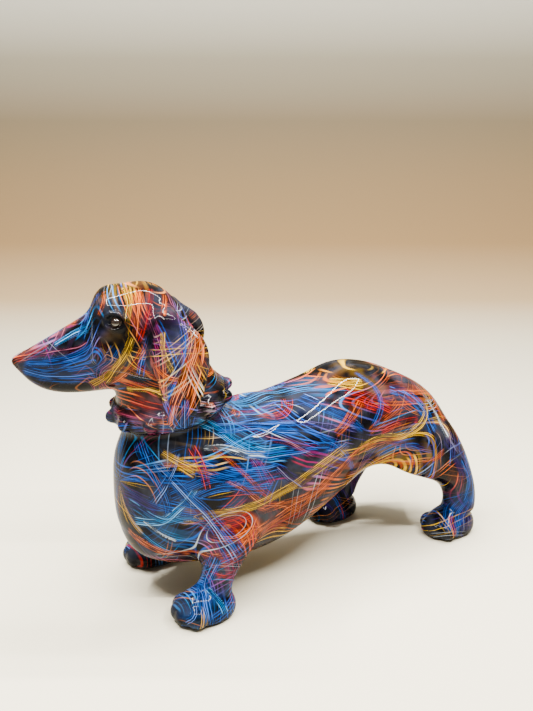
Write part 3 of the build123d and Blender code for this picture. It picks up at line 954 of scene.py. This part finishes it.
def laid_trails(paint, slot, position, colour, bare):
    """The bundles of one slot, laid over a colour: a faint glow with bright strands in it.

    bare is 1 where trails may show and 0 where the glaze stays black; along the ear and collar joints it is
    low as painted shade.
    """
    thread, dye = paint.attribute(f"thread_{slot}"), paint.attribute(f"dye_{slot}")
    number, along, strength = paint.parts(thread.outputs["Vector"])
    strength = paint.times(strength, bare)
    drift = paint.math("SUBTRACT", paint.noise(position, 1 / 13, 1.0)[0], 0.5)
    cells = paint.math("MULTIPLY_ADD", drift, STRAND_DRIFT, number)
    line, strand, light = strands(paint, cells, 0.0, 0.4, 0.11, 0.26, 0.5)
    jump = paint.together(paint.times(strand, 5.3), paint.math("DIVIDE", along, STRAND_RUN), 0.0)
    shown = paint.ramp(paint.noise(jump, 1.0, 1.0)[0], 0.40, 0.52)
    glow = paint.math("MULTIPLY_ADD", light, 0.7, 0.3)
    mask = paint.times(paint.times(line, shown), paint.times(glow, strength))
    shade = dye.outputs["Color"]
    haze = paint.scaled(shade, 0.09)
    colour = paint.mix(paint.times(strength, 0.42), colour, haze)
    hot = paint.times(paint.ramp(light, 0.45, 1.0), dye.outputs["Alpha"])
    bright = paint.vector("ADD", paint.scaled(shade, 1.2), BRIGHTER)
    return paint.mix(mask, colour, paint.mix(hot, shade, bright))


# field, pitch, bundle width, line width as a share of the pitch, length of a trail in millimetres,
# cover, colour, strength
TRAIL_LAYERS = [
    ("u", 4.0, 16.0, 0.46, 30, 0.42, "a", 0.18),
    ("v", 5.0, 15.0, 0.40, 26, 0.30, "b", 0.12),
    ("w", 1.9, 9.0, 0.17, 26, 0.26, "b", 0.80),
    ("u", 1.5, 7.5, 0.28, 24, 0.42, "a", 1.0),
    ("v", 1.6, 6.0, 0.20, 26, 0.30, "a", 0.90),
    ("u2", 1.3, 5.2, 0.24, 24, 0.33, "b", 1.0),
    ("u3", 1.7, 5.0, 0.20, 26, 0.28, "any", 1.0),
    ("w2", 2.2, 6.6, 0.10, 30, 0.22, "pale", 0.6),
    ("v2", 3.1, 9.3, 0.08, 34, 0.24, "pale", 0.75),
]
ANY_COLOURS = ["orange", "azure", "red", "yellow", "sky", "magenta", "orange", "azure"]
PALE_COLOURS = ["white", "yellow", "sky", "peach", "white"]
BLACK_GLAZE = (0.0015, 0.0015, 0.002)
BRIGHTER = (0.13, 0.15, 0.11)          # what the brightest strands have over their colour
SMOKE = (0.012, 0.014, 0.022)
GREY = (0.5, 0.5, 0.5)     # the middle of a noise
SWIRL = (55, 27)           # the size of the bends in the trails and how far they reach, in mm
RIPPLE = (20, 3.5)


def printed_glaze(name, seed):
    """Black glaze with smoke and light trails printed on it, under a clear coat."""
    paint = Paint(name)
    position = paint.position()
    swirl, ripple = [
        paint.scaled(paint.vector("SUBTRACT", paint.noise(position, 1 / size, 0.0)["Color"], GREY), reach)
        for size, reach in (SWIRL, RIPPLE)
    ]
    warp = paint.vector("ADD", swirl, ripple)
    flows = paint.vector("ADD", paint.attribute("flows").outputs["Vector"], warp)
    u, v, w = paint.parts(flows)
    fields = {
        "u": u, "v": v, "w": w,
        "u2": paint.math("MULTIPLY_ADD", v, 0.25, u),
        "u3": paint.math("MULTIPLY_ADD", w, -0.22, u),
        "v2": paint.math("MULTIPLY_ADD", w, -0.45, v),
        "w2": paint.math("MULTIPLY_ADD", u, 0.5, w),
    }
    first, second = paint.attribute("tint_a"), paint.attribute("tint_b")
    cloud = paint.ramp(paint.noise(position, 1 / 13, 3.0)[0], 0.42, 0.66)
    colour = paint.mix(cloud, BLACK_GLAZE, SMOKE)
    cloud = paint.ramp(paint.noise(paint.vector("ADD", position, (90, 0, 0)), 1 / 11, 2.0)[0], 0.5, 0.7)
    colour = paint.mix(paint.times(cloud, 0.05), colour, first.outputs["Color"])
    for index, layer in enumerate(TRAIL_LAYERS):
        field, pitch, bundle, width, length, cover, tint, strength = layer
        mask, chance = trails(
            paint, fields[field], position, pitch, bundle, width, length, seed + index * 17.3, cover
        )
        # The tints' alpha hides the trails round the eyes and, as painted shade, along the ear and collar
        # joints
        mask = paint.times(paint.times(mask, strength), first.outputs["Alpha"])
        if tint == "any":
            shade = paint.colours(chance, ANY_COLOURS)
        elif tint == "pale":
            shade = paint.colours(chance, PALE_COLOURS)
        else:
            own, other = (first, second) if tint == "a" else (second, first)
            swap = paint.math("GREATER_THAN", chance, 0.66)
            shade = paint.mix(swap, own.outputs["Color"], other.outputs["Color"])
        colour = paint.mix(mask, colour, shade)
    for slot in range(BUNDLE_SLOTS):
        colour = laid_trails(paint, slot, position, colour, first.outputs["Alpha"])
    paint.set(Base_Color=colour, Roughness=0.45, Specular_IOR_Level=0.0)
    paint.set(Coat_Weight=0.36, Coat_Roughness=0.03, Coat_IOR=1.27)
    peel = paint.noise(position, 1 / 3.5, 2.0)[0]
    paint.set(Coat_Normal=paint.bump(peel, 0.00004, 0.6))
    return paint.material


def stud_glaze():
    return printed_glaze("stud_glaze", 61.0)


def eye_gloss():
    """Near-black glass with a faint brown iris deep in it."""
    paint = Paint("eye_gloss")
    ring = paint.noise(paint.position(), 2.2, 3.0)[0]
    iris = paint.mix(paint.ramp(ring, 0.35, 0.7), (0.004, 0.003, 0.003), (0.022, 0.012, 0.007))
    paint.set(Base_Color=iris, Roughness=0.12, Coat_Weight=1.0, Coat_Roughness=0.02, Coat_IOR=1.6)
    return paint.material


def pad_felt():
    """Short dark felt: matted fibres under a thin fuzz."""
    paint = Paint("pad_felt")
    position = paint.position()
    fibre = paint.noise(paint.vector("MULTIPLY", position, (1.0, 1.0, 0.35)), 3.2, 6.0, 0.7)[0]
    clump = paint.noise(position, 0.45, 2.0)[0]
    shade = paint.mix(paint.ramp(fibre, 0.3, 0.7), (0.012, 0.012, 0.014), (0.055, 0.053, 0.055))
    shade = paint.mix(paint.times(clump, 0.4), shade, (0.03, 0.028, 0.03))
    paint.set(Base_Color=shade, Roughness=0.95, Sheen_Weight=0.6, Sheen_Roughness=0.5)
    paint.set(Normal=paint.bump(fibre, 0.00018, 0.9))
    return paint.material


glaze = printed_glaze("printed_glaze", 5.0)
studs_glaze = stud_glaze()
for node, piece in pieces.items():
    piece.data.materials.append(studs_glaze if node == "collar_studs" else glaze)


# ---- eyes ---------------------------------------------------------------------------------------
EYEBALL = 3.05             # radius of the eyeball, in millimetres
EYE_SUNK = 2.15            # its middle lies this far behind the skin
CORNEA = 0.35              # how far the cornea bulges in front of the ball


def eyeball(node, side):
    """A turned glass bead: a round back, a shallow groove round the iris and a domed cornea."""
    centre, forward, up, out = eye_frame(side)
    rows, columns = 40, 64
    points = []
    for row in range(1, rows):
        angle = math.pi * row / rows
        edge = math.degrees(angle)
        bulge = CORNEA * max(0.0, math.cos(math.radians(min(edge * 90 / 38, 90)))) ** 0.8
        groove = 0.10 * math.exp(-((edge - 40) / 4) ** 2)
        radius = EYEBALL + bulge - groove
        for column in range(columns):
            turn = 2 * math.pi * column / columns
            local = radius * math.sin(angle) * np.array([math.cos(turn), math.sin(turn)])
            points.append((local[0], local[1], radius * math.cos(angle)))
    points += [(0, 0, EYEBALL + CORNEA), (0, 0, -EYEBALL)]
    faces = []
    for row in range(rows - 2):
        for column in range(columns):
            after = (column + 1) % columns
            a, b = row * columns + column, row * columns + after
            faces.append((a, a + columns, b + columns, b))
    front, back = len(points) - 2, len(points) - 1
    last = (rows - 2) * columns
    for column in range(columns):
        after = (column + 1) % columns
        faces.append((front, column, after))
        faces.append((back, last + after, last + column))
    ball_middle = centre - out * EYE_SUNK * MM
    placed = [ball_middle + (forward * x + up * y + out * z) * MM for x, y, z in points]
    if np.dot(np.cross(forward, up), out) < 0:
        faces = [face[::-1] for face in faces]
    ball = new_object("glass_" + node, [tuple(p) for p in placed], faces)
    ball.data.shade_smooth()
    return ball


glass = eye_gloss()
for node, side in (("left_eye", 1), ("right_eye", -1)):
    ball = eyeball(node, side)
    ball.data.materials.append(glass)
    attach(ball, "root")
    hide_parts(node)


# ---- felt pads under the paws -------------------------------------------------------------------
felt = pad_felt()
for node in PAD_NODES:
    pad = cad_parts[node]
    pad.data.materials.clear()
    pad.data.materials.append(felt)


# ---- floor and backdrop -------------------------------------------------------------------------
SHEET_HALF_WIDTH = 1.6
BEND_START = 0.28          # how far behind the dog the paper starts to rise
SHEET_FLAT = (-1.3, -0.6, 0, BEND_START * 0.6)     # places on the flat, from the front
BEND_RADIUS = 0.60
BEND_STEPS = 24
WALL_HEIGHT = 1.3
AZIMUTH = math.radians(-31.64)     # the way that the camera looks, from +Y towards +X


# Painted shade up the paper's curve, by height: pale underfoot, darkened to tan behind the dog, grey above
PAPER_TOP = 300.0          # in millimetres
PAPER_SHADE_TONES = [
    (0.0, (0.57, 0.525, 0.40)),
    (0.012, (0.55, 0.49, 0.355)),
    (0.06, (0.40, 0.275, 0.14)),
    (0.17, (0.28, 0.172, 0.070)),
    (0.33, (0.27, 0.18, 0.085)),
    (0.52, (0.235, 0.18, 0.105)),
    (0.74, (0.40, 0.36, 0.265)),
    (0.95, (0.82, 0.80, 0.68)),
]


def backdrop():
    """A sheet of pale paper that lies under the dog and curves up behind it, with painted shade up its
    rise.
    """
    ahead = Vector((-math.sin(AZIMUTH), math.cos(AZIMUTH), 0))
    across = Vector((ahead.y, -ahead.x, 0))
    profile = [(along, 0) for along in SHEET_FLAT]
    for step in range(BEND_STEPS + 1):
        turn = math.pi / 2 * step / BEND_STEPS
        profile.append((BEND_START + BEND_RADIUS * math.sin(turn), BEND_RADIUS * (1 - math.cos(turn))))
    profile.append((BEND_START + BEND_RADIUS, BEND_RADIUS + WALL_HEIGHT))
    points = []
    for away, height in profile:
        for side in (-SHEET_HALF_WIDTH, 0, SHEET_HALF_WIDTH):
            points.append(tuple(ahead * away + across * side + Vector((0, 0, height))))
    faces = []
    for row in range(len(profile) - 1):
        for column in range(2):
            a = row * 3 + column
            faces.append((a, a + 1, a + 4, a + 3))
    sheet = new_object("backdrop", points, faces)
    sheet.data.shade_smooth()
    paint = Paint("backdrop_paper")
    height = paint.parts(paint.position())[2]
    # Painted shade: the paper darkens with height up its rise and lightens again near the top
    shade = paint.gradient(paint.math("DIVIDE", height, PAPER_TOP), PAPER_SHADE_TONES)
    grain = paint.noise(paint.position(), 0.8, 3.0)[0]
    shade = paint.mix(paint.times(grain, 0.04), shade, (0.5, 0.48, 0.45))
    paint.set(Base_Color=shade, Roughness=0.9, Specular_IOR_Level=0.15)
    sheet.data.materials.append(paint.material)
    return sheet


backdrop()


# ---- light and camera ---------------------------------------------------------------------------
RING = (0.40, 0.30)        # the lightbox's rectangle of LED strips, over the dog
RING_HEIGHT = 0.42
RING_MIDDLE = (-0.03, -0.06)
STRIP = 0.009              # the width of a strip
STRIP_WATTS = 6.0          # of a long strip
PANEL = 1.5                # the diffusing sheet over everything
PANEL_HEIGHT = 1.15
PANEL_WATTS = 18.5
WARM_WHITE = (1.0, 0.97, 0.93)
SURROUND_TONE = (1.0, 0.90, 0.77)
SURROUND_STRENGTH = 0.35


def area_light(name, place, size, turn, watts):
    light = bpy.data.lights.new(name, "AREA")
    light.shape = "RECTANGLE"
    light.size, light.size_y = size
    light.energy = watts
    light.color = WARM_WHITE
    lamp = bpy.data.objects.new(name, light)
    lamp.location = place
    lamp.rotation_euler = (0, 0, turn)
    bpy.context.collection.objects.link(lamp)
    return lamp


def led_rectangle():
    """Four thin strips, which show as bright outlines in the glaze."""
    across = Vector((math.cos(AZIMUTH), math.sin(AZIMUTH), 0))
    ahead = Vector((-across.y, across.x, 0))
    ring_middle = Vector((*RING_MIDDLE, RING_HEIGHT))
    long_side, short_side = RING
    for sign in (-1, 1):
        place = ring_middle + ahead * sign * short_side / 2
        area_light("led_long", place, (long_side, STRIP), AZIMUTH, STRIP_WATTS)
        place = ring_middle + across * sign * long_side / 2
        area_light("led_short", place, (STRIP, short_side), AZIMUTH, STRIP_WATTS * short_side / long_side)


def diffuser():
    """The soft light of the sheet above, which is too even to show in the glaze."""
    lamp = area_light("diffuser", (0, 0.05, PANEL_HEIGHT), (PANEL, PANEL), 0, PANEL_WATTS)
    lamp.visible_glossy = False


def soft_surround():
    """The pale walls of the lightbox."""
    world = bpy.data.worlds.new("lightbox")
    world.use_nodes = True
    background = world.node_tree.nodes["Background"]
    background.inputs["Color"].default_value = (*SURROUND_TONE, 1)
    background.inputs["Strength"].default_value = SURROUND_STRENGTH
    bpy.context.scene.world = world


CAMERA = (-195.0, -313.9, 198.5)       # in millimetres
PITCH = 16.17              # degrees below level
LENS = 48.1                # in millimetres, like the sensor
SENSOR = 36


def camera():
    data = bpy.data.cameras.new("photo_camera")
    data.lens = LENS
    data.sensor_width = SENSOR
    data.clip_start, data.clip_end = 0.01, 20
    eye = bpy.data.objects.new("photo_camera", data)
    eye.location = [value * MM for value in CAMERA]
    eye.rotation_euler = (math.radians(90 - PITCH), 0, AZIMUTH)
    bpy.context.collection.objects.link(eye)
    bpy.context.scene.camera = eye


led_rectangle()
diffuser()
soft_surround()
camera()

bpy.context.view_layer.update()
